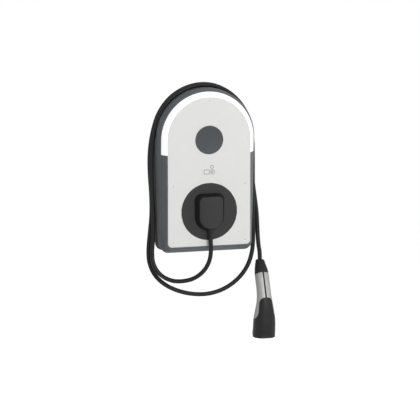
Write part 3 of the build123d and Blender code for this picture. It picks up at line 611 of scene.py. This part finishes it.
# Printed pictogram between the window and the outlet: a card and a ring reader, without words
PICTOGRAM = (0.0005, 0.0025)
PRINT_NEAR = 0.1000
PRINT_HIGH = 0.00015
PRINT_LINE = 0.0019
CARD = (-0.0085, -0.0035, 0.0088, 0.0072, 0.0028)
RINGS = [(0.0090, -0.0035, 0.0075), (0.0090, -0.0035, 0.0034), (0.0080, 0.0115, 0.0056)]


def rounded_loop(x, z, half_w, half_h, corner, steps=10):
    loop = []
    for sx, sz, start in ((1, 1, 0), (-1, 1, 90), (-1, -1, 180), (1, -1, 270)):
        for i in range(steps + 1):
            angle = math.radians(start + 90 * i / steps)
            loop.append((x + sx * (half_w - corner) + corner * math.cos(angle),
                         z + sz * (half_h - corner) + corner * math.sin(angle)))
    return loop


def make_pictogram():
    x, z, half_w, half_h, corner = CARD
    shapes = [((x, z, half_w, half_h, corner),
               (x, z, half_w - PRINT_LINE, half_h - PRINT_LINE, corner - PRINT_LINE))]
    for x, z, radius in RINGS:
        thin = radius - PRINT_LINE
        shapes.append(((x, z, radius, radius, radius), (x, z, thin, thin, thin)))
    points = []
    faces = []
    for outer, inner in shapes:
        first = len(points)
        loops = [(outer, 0.0), (outer, PRINT_HIGH), (inner, PRINT_HIGH), (inner, 0.0)]
        for shape, rise in loops:
            points += [(PICTOGRAM[0] + px, -(PRINT_NEAR + rise), PICTOGRAM[1] + pz)
                       for px, pz in rounded_loop(*shape)]
        count = (len(points) - first) // len(loops)
        faces += loop_faces(first, len(loops), count)
    pictogram = add_piece("printed_pictogram", closed_mesh("pictogram", points, faces))
    finish_piece(pictogram, "print_grey", smooth=False)


# Stage: a pale floor that keeps the shadow, a backdrop that is seen as white, and soft light
FLOOR_Z = -0.90
FLOOR_HALF = 3.5
FLOOR_GLOW = 0.76
AMBIENT = 0.20


def seen_directly(tree):
    """1 for rays from the camera, also by way of a reflection or through glass, else 0."""
    rays = tree.nodes.new("ShaderNodeLightPath")
    total = rays.outputs["Is Camera Ray"]
    for name in ("Is Glossy Ray", "Is Transmission Ray"):
        most = tree.nodes.new("ShaderNodeMath")
        most.operation = "MAXIMUM"
        tree.links.new(total, most.inputs[0])
        tree.links.new(rays.outputs[name], most.inputs[1])
        total = most.outputs[0]
    return total


def stage_material(name, colour):
    """Pale matt floor with a glow that lifts it to white where no shadow falls."""
    material = bpy.data.materials.new(name)
    material.use_nodes = True
    tree = material.node_tree
    shader = tree.nodes["Principled BSDF"]
    shader.inputs["Base Color"].default_value = (*colour, 1)
    shader.inputs["Roughness"].default_value = 0.9
    tree.links.new(seen_directly(tree), shader.inputs["Emission Strength"])
    shader.inputs["Emission Color"].default_value = (FLOOR_GLOW, FLOOR_GLOW, FLOOR_GLOW, 1)
    return material


def make_stage():
    mesh = bpy.data.meshes.new("floor")
    half = FLOOR_HALF
    mesh.from_pydata([(-half, -half, FLOOR_Z), (half, -half, FLOOR_Z), (half, half, FLOOR_Z),
                      (-half, half, FLOOR_Z)], [], [(0, 1, 2, 3)])
    mesh.materials.append(stage_material("floor", (0.86, 0.86, 0.86)))
    floor = bpy.data.objects.new("floor", mesh)
    bpy.context.scene.collection.objects.link(floor)

    world = bpy.data.worlds.new("studio")
    bpy.context.scene.world = world
    world.use_nodes = True
    tree = world.node_tree
    tree.nodes.clear()
    lit = tree.nodes.new("ShaderNodeBackground")
    lit.inputs["Color"].default_value = (1, 1, 1, 1)
    lit.inputs["Strength"].default_value = AMBIENT
    white = tree.nodes.new("ShaderNodeBackground")
    white.inputs["Color"].default_value = (1, 1, 1, 1)
    white.inputs["Strength"].default_value = 1.0
    mix = tree.nodes.new("ShaderNodeMixShader")
    out = tree.nodes.new("ShaderNodeOutputWorld")
    tree.links.new(seen_directly(tree), mix.inputs["Fac"])
    tree.links.new(lit.outputs[0], mix.inputs[1])
    tree.links.new(white.outputs[0], mix.inputs[2])
    tree.links.new(mix.outputs[0], out.inputs["Surface"])


def lamp(name, place, size, power, target=(0, -0.05, -0.05)):
    data = bpy.data.lights.new(name, "AREA")
    data.shape = "SQUARE"
    data.size = size
    data.energy = power
    light = bpy.data.objects.new(name, data)
    light.location = place
    light.rotation_euler = (Vector(place) - Vector(target)).to_track_quat("Z", "Y").to_euler()
    bpy.context.scene.collection.objects.link(light)


def make_lights():
    lamp("key", (0.5, -4.6, 1.5), 2.0, 126)
    lamp("fill", (2.6, -2.4, 0.8), 1.2, 14)


make_camera()
make_cord(make_boot_collars())
dress_nodes()
make_outlet_cover()
make_pictogram()
make_stage()
make_lights()
bpy.context.scene.view_settings.view_transform = "Standard"
